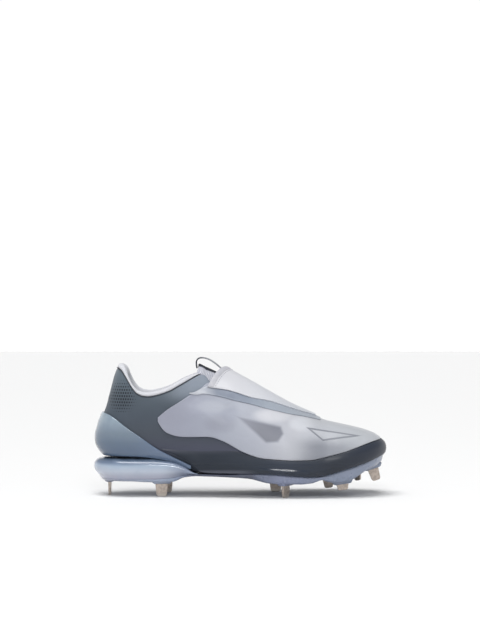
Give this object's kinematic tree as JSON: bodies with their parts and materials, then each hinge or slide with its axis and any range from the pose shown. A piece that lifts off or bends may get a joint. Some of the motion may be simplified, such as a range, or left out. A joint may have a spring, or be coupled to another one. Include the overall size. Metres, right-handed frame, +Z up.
{
  "type": "baseball cleat",
  "caption": "Low baseball cleat: hollow upper, strap-like cover over the instep, bulging heel cushion and a sole plate with metal blades.",
  "frame": {"origin": "middle of the box round the shoe, on the floor that the blade tips stand on", "axes": "+X to the toe, +Y to the inner side, +Z up; the outer side faces -Y"},
  "size_m": [0.2952, 0.1064, 0.1388],
  "materials": {
    "quarter_cloth": "dark slate coated cloth, satin",
    "vamp_film": "thin light grey film over mesh, satin",
    "sidewall_plastic": "dark slate moulded band, semi-gloss",
    "counter_plastic": "hazy blue clip, see-through towards its edges",
    "lining_cloth": "light grey knit",
    "tongue_knit": "light ribbed knit",
    "loop_webbing": "flat woven webbing",
    "cover_sheet": "smooth white coated sheet",
    "cushion_plastic": "glossy light blue cell",
    "plate_plastic": "hazy lavender blue, gloss",
    "insole_foam": "matt cloth-faced foam",
    "blade_metal": "champagne tinted steel, satin"
  },
  "bodies": {
    "root": {"upper": "quarter_cloth", "vamp_layer": "vamp_film", "sidewall": "sidewall_plastic", "heel_counter": "counter_plastic", "collar_lining": "lining_cloth", "tongue": "tongue_knit", "pull_loop": "loop_webbing", "cover": "cover_sheet", "heel_cushion": "cushion_plastic", "outsole_plate": "plate_plastic", "insole": "insole_foam", "spike_heel_rear": "blade_metal", "spike_heel_lateral": "blade_metal", "spike_heel_medial": "blade_metal", "spike_ball_lateral": "blade_metal", "spike_ball_medial": "blade_metal", "spike_fore_lateral": "blade_metal", "spike_fore_medial": "blade_metal", "spike_toe_lateral": "blade_metal", "spike_toe_medial": "blade_metal"}
  },
  "joints": []
}
